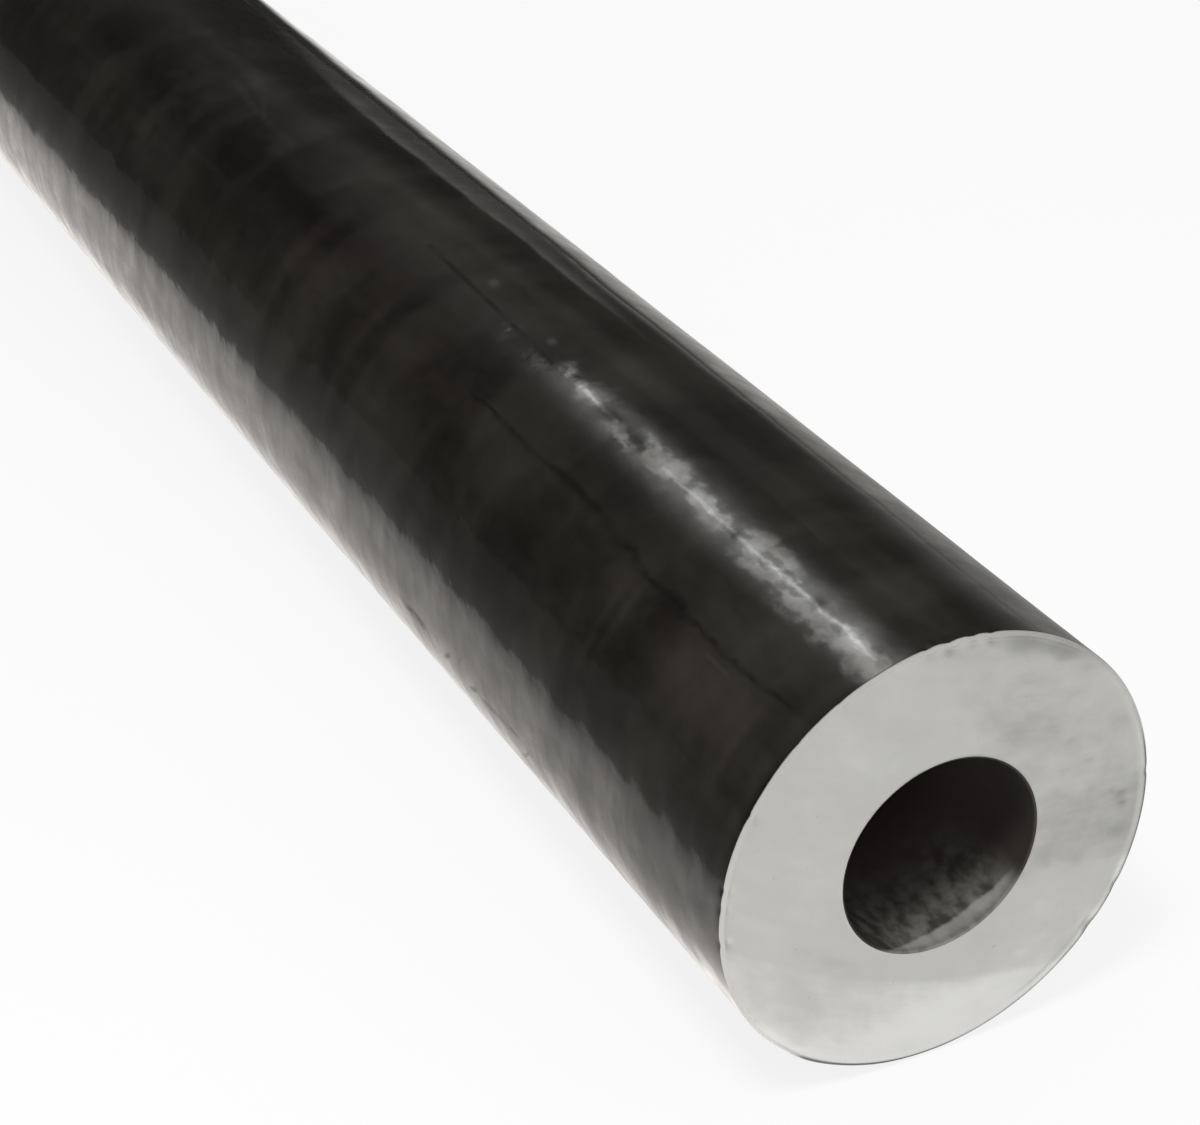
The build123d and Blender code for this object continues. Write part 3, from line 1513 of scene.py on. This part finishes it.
    def shade(self, radius: np.ndarray, turn: np.ndarray) -> np.ndarray:
        """How much lighter or darker the front face's steel is than its middle tone, from -1 to 1.

        Below the saw's step it is lighter, and painted light makes it lightest at the bottom; a painted
        highlight runs along the right and lower rim. The scuff and a thin groove at the lower right are
        darker, and painted shade darkens the bevel and the upper right.

        Args:
            radius: distance from the axis, in millimetres.
            turn: degrees round the axis.

        Returns:
            The shade.
        """
        tones, drop = self.face_tones, self.cut.step_drop
        y, z = around(radius, turn)
        across = self.cut.across(y, z)
        inside = self.face_edge - radius
        low_side = smooth_step(140.0, 160.0, turn) + smooth_step(-30.0, -50.0, turn)
        lower_right = smooth_step(214.0, 222.0, turn) * smooth_step(246.0, 238.0, turn)
        regions = (
            (tones.lower, smooth_step(drop + 0.9, drop - 0.9, across)),
            # painted reflection of the floor: lighter towards the bottom
            (tones.foot, smooth_step(-22.0, -50.0, z)),
            # painted highlight along the right and lower rim
            (tones.burr_highlight, smooth_step(2.2, 0.8, inside) * low_side),
            (tones.above_step, bell(across, drop + 3.0, 4.0)),
            (tones.scuff, self.scuff(y, z)),
            # painted shade on the bevel
            (tones.bevel, self.bevel(radius, turn) ** tones.bevel_power),
            # painted shade towards the upper right
            (tones.upper_right, smooth_step(-8.0, 18.0, y + 0.3 * z) * smooth_step(-25.0, -5.0, z)),
            (tones.groove, bell(inside, 2.0, 0.7) * lower_right),
        )
        clouded = self.smudges(y, z, self.face_smudges)
        return tones.plain + clouded + sum(tone * region for tone, region in regions)

    def rim_shade(self, turn: np.ndarray) -> np.ndarray:
        """The front rim's shade: as light as the face at the left and top; painted shade darkens it below,
        most at the foot, and at the upper right.

        Args:
            turn: degrees round the axis.

        Returns:
            The shade.
        """
        tones = self.face_tones
        # painted shade: the rim darkens below, most at the foot, and at the upper right
        low = smooth_step(150.0, 170.0, turn) + smooth_step(-55.0, -75.0, turn)
        foot = smooth_step(-46.0, -58.0, turn) + smooth_step(256.0, 268.0, turn)
        upper_right = smooth_step(90.0, 102.0, turn) * smooth_step(150.0, 130.0, turn)
        return tones.rim + tones.rim_low * low + tones.rim_foot * foot + tones.rim_upper_right * upper_right

    def painted_rim_shadow(self, along: np.ndarray, turn: np.ndarray) -> np.ndarray:
        """Where painted shadow darkens, warms and dulls the skin beside the front rim, from 0 to 1."""
        browned = smooth_step(70.0, 58.0, turn) * smooth_step(-16.0, -4.0, turn)
        return bell(along, 0.0, self.skin_tones.border_width) * browned

    def soil(self, along: np.ndarray, turn: np.ndarray) -> np.ndarray:
        """How dull the oil film is, from 0 to 1: a little everywhere, by its spots and in the painted shadow
        beside the front rim.

        Args:
            along: millimetres from the front end.
            turn: degrees round the axis.

        Returns:
            The dullness.
        """
        spots = self.spots(along, turn, self.film_spots)
        beside_rim = self.skin_tones.painted_shadow_dulling * self.painted_rim_shadow(along, turn)
        return np.clip(self.skin_tones.soil_everywhere + spots + beside_rim, 0.0, 1.0)

    def marks(
        self, along: np.ndarray, radius: np.ndarray, turn: np.ndarray, zone: np.ndarray,
    ) -> dict[str, np.ndarray]:
        """The numbers that the finishes read at the mesh's points.

        Args:
            along: the points' millimetres from the front end.
            radius: their distance from the axis.
            turn: their degrees round the axis.
            zone: the zone of the profile that each one is in.

        Returns:
            The numbers, by the name of their attribute.
        """
        on_skin, on_front = zone == Zone.SKIN.value, zone == Zone.FRONT_FACE.value
        on_front_rim = zone == Zone.FRONT_RIM.value
        on_rim = on_front_rim | (zone == Zone.BACK_RIM.value)
        shade = np.where(on_front, self.shade(radius, turn), 0.0)
        painted_rim_shadow, tones = self.painted_rim_shadow(along, turn), self.skin_tones
        return {
            "wear": np.where(on_skin | on_rim, self.spots(along, turn, self.rubbed_spots), 0.0),
            "rust": np.where(on_skin, self.spots(along, turn, self.rust_spots), 0.0),
            "soil": np.where(on_skin, self.soil(along, turn), 0.0),
            # tone and warmth also carry the painted shadow beside the front rim
            "tone": self.spots(along, turn, self.pale_spots) + tones.painted_shadow_tone * painted_rim_shadow,
            "warmth": self.spots(along, turn, self.warm_spots) + tones.painted_shadow_warmth * painted_rim_shadow,
            "edge": np.where(on_front_rim, 1.0, 0.0),
            "shade": np.where(on_front_rim, self.rim_shade(turn), shade),
        }

    def mesh(self) -> bpy.types.Mesh:
        """The closed mesh: every point of the profile, at every angle, with the relief pressed in.

        A point of the profile at x, r lies at (x, -r cos t, R + r sin t) for the angle t, R being the outer
        radius, so that the skin touches z = 0. The skin sinks towards the axis, the bore away from it, but
        for the few waves in the bore that are higher than its lift, and the faces along the axis.

        Returns:
            The mesh, in metres, with a material index on each face and the marks as numbers on its points.
        """
        deep = self.relief
        x, radius, zones = self.profile()
        turn = np.linspace(-90.0, 270.0, self.segments, endpoint=False)[None, :]
        x, radius, zone = x[:, None], radius[:, None], zones[:, None]
        along = self.sizes.length / 2 - x
        from_ends = np.minimum(along, self.sizes.length - along)
        outside = (Zone.SKIN.value, Zone.FRONT_RIM.value, Zone.BACK_RIM.value)
        skin = np.where(np.isin(zone, outside), self.skin_depth(along, turn), 0.0)
        front = np.where(zone == Zone.FRONT_FACE.value, self.face_depth(radius, turn, True), 0.0)
        back = np.where(zone == Zone.BACK_FACE.value, self.face_depth(radius, turn, False), 0.0)
        rough = deep.bore * (self.waves(along, turn, deep.bore_waves) + deep.bore_lift)
        rough = rough * smooth_step(0.0, deep.bore_starts, from_ends)
        bore = np.where(zone == Zone.BORE.value, rough, 0.0)
        y, z = around(radius - skin + bore, turn)
        points = np.stack([x - front + back, y, self.sizes.outer_radius + z], axis=-1)
        rings = len(x)
        ring = np.arange(rings)[:, None]
        step = np.arange(self.segments)[None, :]
        after, beside = (ring + 1) % rings, (step + 1) % self.segments
        corners = np.stack(
            [
                ring * self.segments + step,
                after * self.segments + step,
                after * self.segments + beside,
                ring * self.segments + beside,
            ],
            axis=-1,
        )
        mesh = bpy.data.meshes.new("tube_mesh")
        mesh.from_pydata((points.reshape(-1, 3) * METRES).tolist(), [], corners.reshape(-1, 4).tolist())
        mesh.polygons.foreach_set("material_index", self.dressing(zones).ravel())
        mesh.polygons.foreach_set("use_smooth", np.ones(rings * self.segments, dtype=bool))
        for name, values in self.marks(along, radius, turn, zone).items():
            layer = mesh.attributes.new(name, "FLOAT", "POINT")
            whole = np.broadcast_to(values, (rings, self.segments))
            layer.data.foreach_set("value", whole.astype(np.float32).ravel())
        mesh.update()
        return mesh

    def dressing(self, zones: np.ndarray) -> np.ndarray:
        """Which finish each face of the mesh wears.

        Args:
            zones: the zone of each stretch of the profile.

        Returns:
            The material index, by ring and by segment.
        """
        in_bore = (Zone.BACK_MOUTH.value, Zone.BORE.value, Zone.FRONT_MOUTH.value)
        index = np.full(len(zones), Dress.BARE.value)
        index[zones == Zone.SKIN.value] = Dress.SCALE.value
        index[np.isin(zones, in_bore)] = Dress.BORE.value
        return np.repeat(index[:, None], self.segments, axis=1)

    def build(self) -> bpy.types.Object:
        """Makes the tube's piece, dresses it and gives it the CAD node's place.

        Returns:
            The piece.
        """
        piece = bpy.data.objects.new("dressed_tube", self.mesh())
        bpy.context.scene.collection.objects.link(piece)
        finishes = {Dress.SCALE: self.scale, Dress.BARE: self.bare, Dress.BORE: self.bore}
        for dress in Dress:
            piece.data.materials.append(finishes[dress].material())
        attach(piece, "root")
        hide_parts("tube")
        log.info("%s: %d faces", piece.name, len(piece.data.polygons))
        return piece


@dataclass(frozen=True)
class PhotoCamera:
    """The photograph's camera, fitted to the rims of the front end and to the tube's two outlines."""

    picture_width_px: float = 1200.0
    picture_height_px: float = 1125.0
    focal_px: float = 2666.3
    end_centre_px: tuple[float, float] = (941.8, 857.2)
    end_depth_m: float = 0.5658
    azimuth_deg: float = 63.0
    elevation_deg: float = 29.8
    sensor_mm: float = 36.0

    def build(self, end_centre: Vector) -> bpy.types.Object:
        """Places the camera so that the front end's centre shows at its pixel.

        The camera looks down without roll, from the azimuth and elevation. It stands off by the depth, and
        aside by the pixel's distance from the picture's centre times depth over focal length.

        Args:
            end_centre: the centre of the front end, in metres.

        Returns:
            The camera.
        """
        azimuth, elevation = math.radians(self.azimuth_deg), math.radians(self.elevation_deg)
        back = Vector((
            math.sin(azimuth) * math.cos(elevation),
            -math.cos(azimuth) * math.cos(elevation),
            math.sin(elevation),
        ))
        right = Vector((math.cos(azimuth), math.sin(azimuth), 0.0))
        up = back.cross(right)
        per_px = self.end_depth_m / self.focal_px
        aside = (self.end_centre_px[0] - self.picture_width_px / 2) * per_px
        below = (self.end_centre_px[1] - self.picture_height_px / 2) * per_px
        data = bpy.data.cameras.new("photo_camera")
        data.sensor_fit = "HORIZONTAL"
        data.sensor_width = self.sensor_mm
        data.lens = self.focal_px * self.sensor_mm / self.picture_width_px
        data.clip_start, data.clip_end = 0.01, 100.0
        camera = bpy.data.objects.new("photo_camera", data)
        place = end_centre - right * aside + up * below + back * self.end_depth_m
        turn = Matrix((right, up, back)).transposed().to_4x4()
        camera.matrix_world = Matrix.Translation(place) @ turn
        bpy.context.scene.collection.objects.link(camera)
        bpy.context.scene.camera = camera
        return camera


@dataclass(frozen=True)
class Cloth:
    """A sheet on the floor beside the tube, which only reflections show: it tones what the skin mirrors.

    Lengths are metres. The sheet starts at its near edge, where it fades in, and runs far out and far back.
    """

    name: str
    near: float
    fade: float
    front_x: float
    side: float = 1.0
    reach: float = 30.0
    lift: float = 0.0005
    tint: Triple = (1.0, 0.985, 0.94)

    def tone(self, graph: Graph, x: Socket, outwards: Socket) -> Socket:
        """How brightly the sheet glows.

        Args:
            graph: the material's graph.
            x: along the tube.
            outwards: distance from the vertical plane through the tube's axis.

        Returns:
            The strength.
        """
        raise NotImplementedError

    def build(self) -> bpy.types.Object:
        """Lays the sheet from its near edge outwards, from the tube's end to far behind it.

        Returns:
            The sheet.
        """
        across = (self.side * self.near, self.side * self.reach)
        sheet = flat_sheet(self.name, (-self.reach, self.front_x), across, self.lift, self.material())
        leave_to_reflections(sheet)
        return sheet

    def material(self) -> bpy.types.Material:
        """The sheet's glow, which fades in from the near edge.

        Returns:
            The material.
        """
        made, graph = blank_material(self.name)
        at = graph.place()
        outwards = graph.math("MULTIPLY", at.y, self.side)
        glow = graph.lit("ShaderNodeEmission", self.tone(graph, at.x, outwards), self.tint)
        clear = graph.node("ShaderNodeBsdfTransparent").outputs[0]
        graph.show(graph.mix(graph.soft(self.near, self.near + self.fade, outwards), clear, glow))
        return made


@dataclass(frozen=True)
class LeftCloth(Cloth):
    """The sheet on the -Y side: white by the tube, near black past 0.15 m, and brighter further back."""

    side: float = -1.0
    tint: Triple = (1.0, 0.957, 0.920)
    by_distance: Profile = (
        (0.036, 1.38), (0.045, 1.24), (0.054, 1.00), (0.065, 0.94), (0.080, 0.97), (0.100, 1.06),
        (0.115, 1.00), (0.133, 0.80), (0.145, 0.55), (0.150, 0.19), (0.200, 0.12), (0.260, 0.10),
        (1.000, 0.08),
    )
    by_x: Profile = (
        (-0.10, 1.20), (0.00, 1.10), (0.10, 1.02), (0.20, 1.00), (0.30, 0.97), (0.36, 0.92), (0.42, 0.83),
        (0.435, 0.85), (0.45, 1.20), (0.47, 1.50),
    )

    def tone(self, graph: Graph, x: Socket, outwards: Socket) -> Socket:
        """The tone by the distance from the tube, times a share by the place along it."""
        return graph.product(graph.polyline(outwards, self.by_distance), graph.polyline(x, self.by_x))


@dataclass(frozen=True)
class RightCloth(Cloth):
    """The sheet on the +Y side: toned like a fan, by the bearing about a pole, and black far behind."""

    pole: tuple[float, float] = (0.871, -0.403)
    by_bearing: Profile = (
        (26.0, 1.25), (29.0, 1.02), (32.0, 0.77), (36.0, 0.63), (39.0, 0.62), (43.0, 0.46), (46.0, 0.39),
    )
    behind_slope: float = -0.93
    behind_from: float = -0.20
    behind_share: tuple[float, float] = (0.45, 1.20)
    black: float = 0.025

    def tone(self, graph: Graph, x: Socket, outwards: Socket) -> Socket:
        """The tone by the bearing from -X towards +Y, turning black where x lies far back for its distance.

        Args:
            graph: the material's graph.
            x: along the tube.
            outwards: distance from the vertical plane through the tube's axis.

        Returns:
            The strength.
        """
        ahead = graph.math("SUBTRACT", self.pole[0], x)
        aside = graph.math("SUBTRACT", outwards, self.pole[1])
        bearing = graph.angle(aside, ahead)
        past = graph.math("MULTIPLY_ADD", x, self.behind_slope, self.behind_from)
        share = graph.soft(*self.behind_share, graph.math("DIVIDE", past, outwards))
        return graph.span(share, graph.polyline(bearing, self.by_bearing), self.black)


@dataclass(frozen=True)
class Lamp:
    """A rectangular lamp: its middle, the point it faces, the way its long side runs, its size and glow."""

    name: str
    middle: Triple
    target: Triple
    long_way: Triple
    length: float
    width: float
    watts: float

    def build(self) -> bpy.types.Object:
        """Hangs the lamp, hidden from the camera and from reflections.

        Returns:
            The lamp.
        """
        data = bpy.data.lights.new(self.name, "AREA")
        data.shape = "RECTANGLE"
        data.size, data.size_y = self.length, self.width
        data.energy = self.watts
        lamp = bpy.data.objects.new(self.name, data)
        toward = (Vector(self.target) - Vector(self.middle)).normalized()
        run = Vector(self.long_way)
        side = (run - run.dot(toward) * toward).normalized()
        turn = Matrix((side, toward.cross(side), -toward)).transposed()
        if turn.determinant() < 0:
            turn = Matrix((side, side.cross(toward), -toward)).transposed()
        lamp.matrix_world = Matrix.Translation(self.middle) @ turn.to_4x4()
        bpy.context.scene.collection.objects.link(lamp)
        lamp.visible_camera = False
        lamp.visible_glossy = False
        return lamp


@dataclass(frozen=True)
class Softbox:
    """A sheet high behind the tube that only reflections show: a soft glow with a bright narrow core.

    Its middle line runs along -X and bends sideways once. Across it the glow is a bell, and it is weaker
    further back. The core is a long stretch and, past a gap, a short one.
    """

    height: float = 2.0
    near_x: float = -1.12
    far_x: float = -2.42
    near_y: float = 0.222
    bent_y: float = 0.38
    bend_from: float = -1.90
    bend_to: float = -2.16
    half_glow: float = 0.35
    half_core: float = 0.034
    glow: float = 2.65
    core: float = 5.8
    head: float = 0.25
    tail: float = 0.18
    spare_share: float = 3.0
    glow_by_x: Profile = ((-2.40, 0.72), (-2.05, 0.78), (-1.85, 0.98), (-1.60, 1.10), (-1.35, 1.30))
    core_by_x: Profile = (
        (-2.27, 0.0), (-2.24, 1.2), (-2.19, 1.2), (-2.16, 0.0), (-2.00, 0.0), (-1.94, 0.5), (-1.80, 0.6),
        (-1.73, 1.0), (-1.42, 1.1), (-1.37, 0.0),
    )

    def build(self) -> bpy.types.Object:
        """Hangs the sheet, with room for its soft edges.

        Returns:
            The sheet.
        """
        spare = self.spare_share * self.half_glow
        along = (self.far_x - spare, self.near_x + spare)
        across = (self.near_y - spare, self.bent_y + spare)
        sheet = flat_sheet("softbox", along, across, self.height, self.material())
        leave_to_reflections(sheet)
        return sheet

    def material(self) -> bpy.types.Material:
        """The sheet's glow.

        Returns:
            The material.
        """
        made, graph = blank_material("softbox")
        at = graph.place()
        middle = graph.soft(self.bend_from, self.bend_to, at.x, self.near_y, self.bent_y)
        off = graph.math("SUBTRACT", at.y, middle)
        squared = graph.math("MULTIPLY", off, off)
        halo = graph.math("EXPONENT", graph.math("MULTIPLY", squared, -1.0 / self.half_glow**2))
        line = graph.math("EXPONENT", graph.math("MULTIPLY", squared, -1.0 / self.half_core**2))
        strength = graph.total(
            graph.product(halo, graph.polyline(at.x, self.glow_by_x), self.glow),
            graph.product(line, graph.polyline(at.x, self.core_by_x), self.core),
        )
        begun = graph.soft(self.near_x + self.head, self.near_x, at.x)
        ended = graph.soft(self.far_x, self.far_x + self.tail, at.x)
        graph.show(graph.lit("ShaderNodeEmission", graph.product(strength, begun, ended)))
        return made


@dataclass(frozen=True)
class Studio:
    """A pale floor, a pale room, three sheets for the reflections, and one small lamp."""

    floor_half_m: float = 40.0
    floor_tone: float = 0.92
    floor_shown: float = 0.85
    room_light: float = 0.60
    left_cloth: LeftCloth = LeftCloth("left_cloth", near=0.030, fade=0.010, front_x=0.55)
    right_cloth: RightCloth = RightCloth("right_cloth", near=0.056, fade=0.030, front_x=0.42)
    softbox: Softbox = Softbox()
    key: Lamp = Lamp(
        "key", middle=(0.70, -0.33, 0.87), target=(0.45, 0.0, 0.05), long_way=(1.0, 0.0, 0.0),
        length=0.20, width=0.20, watts=4.2,
    )
    dark: float = 0.02
    upper: float = 0.05
    upper_by_height: Ramp = Ramp(20.0, 24.0)
    upper_by_bearing: Ramp = Ramp(9.0, 13.0)
    mirrored_tint: Triple = (1.0, 0.985, 0.94)
    behind_begins: Ramp = Ramp(26.3, 28.2)
    behind_ends: Ramp = Ramp(36.0, 33.5)
    between_begins: Ramp = Ramp(33.5, 36.0)
    between_ends: Ramp = Ramp(45.5, 40.0)
    aside_begins: Ramp = Ramp(40.0, 45.5)
    aside_by_height: Profile = (
        (-1.0, 0.42), (0.0, 0.40), (2.0, 0.31), (6.0, 0.20), (12.0, 0.08), (18.0, 0.03), (28.0, 0.00),
    )
    between_by_height: Profile = ((-1.0, 0.60), (0.0, 0.50), (1.5, 0.20), (4.0, 0.00))
    behind_by_height: Profile = (
        (-1.0, 0.12), (0.0, 0.10), (1.5, 0.09), (5.0, 0.12), (8.0, 0.20), (10.5, 0.34), (11.5, 0.00),
    )

    def floor(self) -> bpy.types.Object:
        """The floor: mostly plain white where it is seen, so that the tube's shadow on it stays faint.

        Returns:
            The floor.
        """
        made, graph = blank_material("pale_floor")
        matt = graph.node("ShaderNodeBsdfDiffuse")
        graph.feed(matt.inputs["Color"], (self.floor_tone, self.floor_tone, self.floor_tone))
        path = graph.node("ShaderNodeLightPath").outputs
        seen = graph.math("MAXIMUM", path["Is Camera Ray"], path["Is Glossy Ray"])
        seen = graph.math("MAXIMUM", seen, path["Is Transmission Ray"])
        share = graph.math("MULTIPLY", seen, self.floor_shown)
        graph.show(graph.mix(share, matt.outputs[0], graph.lit("ShaderNodeEmission", 1.0)))
        run = (-self.floor_half_m, self.floor_half_m)
        floor = flat_sheet("floor", run, run, 0.0, made)
        return floor

    def mirrored_room(self, graph: Graph) -> Socket:
        """What a reflection shows of the room: dark, with a pale band on the horizon of the +Y side.

        By the bearing from -X towards +Y, the band is at first a shelf that glows at its top edge, then a
        narrow strip, and to the side a wide glow that fades upwards. Higher up the room is a little lighter.

        Args:
            graph: the world's graph.

        Returns:
            The strength.
        """
        way = graph.node("ShaderNodeSeparateXYZ")
        graph.feed(way.inputs[0], graph.node("ShaderNodeTexCoord").outputs["Generated"])
        height = graph.math("MULTIPLY", graph.math("ARCSINE", way.outputs["Z"]), math.degrees(1.0))
        ahead = graph.math("MULTIPLY", way.outputs["X"], -1.0)
        bearing = graph.angle(way.outputs["Y"], ahead)
        aside = graph.ramp(bearing, self.aside_begins)
        between = graph.product(
            graph.ramp(bearing, self.between_begins),
            graph.ramp(bearing, self.between_ends),
        )
        behind = graph.product(
            graph.ramp(bearing, self.behind_begins),
            graph.ramp(bearing, self.behind_ends),
        )
        band = graph.total(
            graph.product(aside, graph.polyline(height, self.aside_by_height)),
            graph.product(between, graph.polyline(height, self.between_by_height)),
            graph.product(behind, graph.polyline(height, self.behind_by_height)),
        )
        above = graph.product(
            graph.ramp(height, self.upper_by_height),
            graph.ramp(bearing, self.upper_by_bearing),
            self.upper,
        )
        return graph.total(band, above, self.dark)

    def room(self) -> bpy.types.World:
        """The room: white to the camera, pale as light, and mirrored_room in reflections.

        Returns:
            The world.
        """
        world = bpy.data.worlds.new("room")
        bpy.context.scene.world = world
        world.use_nodes = True
        graph = Graph(world.node_tree)
        mirrored = graph.lit("ShaderNodeBackground", self.mirrored_room(graph), self.mirrored_tint)
        light = graph.lit("ShaderNodeBackground", self.room_light)
        shown = graph.lit("ShaderNodeBackground", 1.0)
        path = graph.node("ShaderNodeLightPath").outputs
        direct = graph.math("MAXIMUM", path["Is Camera Ray"], path["Is Transmission Ray"])
        unseen = graph.mix(path["Is Glossy Ray"], light, mirrored)
        graph.show(graph.mix(direct, unseen, shown), "ShaderNodeOutputWorld")
        return world

    def build(self) -> None:
        """Makes the floor, the room, the sheets and the lamp, and sets the plain view."""
        self.floor()
        self.room()
        self.left_cloth.build()
        self.right_cloth.build()
        self.softbox.build()
        self.key.build()
        bpy.context.scene.view_settings.view_transform = "Standard"


def main() -> None:
    """Builds the tube, the studio and the camera in order."""
    logging.basicConfig(level=logging.INFO, format="%(name)s: %(message)s")
    sizes = TubeSizes.from_frame()
    log.info("sizes: %s", sizes)
    Tube(sizes).build()
    Studio().build()
    end_centre = Vector((sizes.length / 2, 0.0, sizes.outer_radius)) * METRES
    PhotoCamera().build(end_centre)


if __name__ == "__main__":
    main()
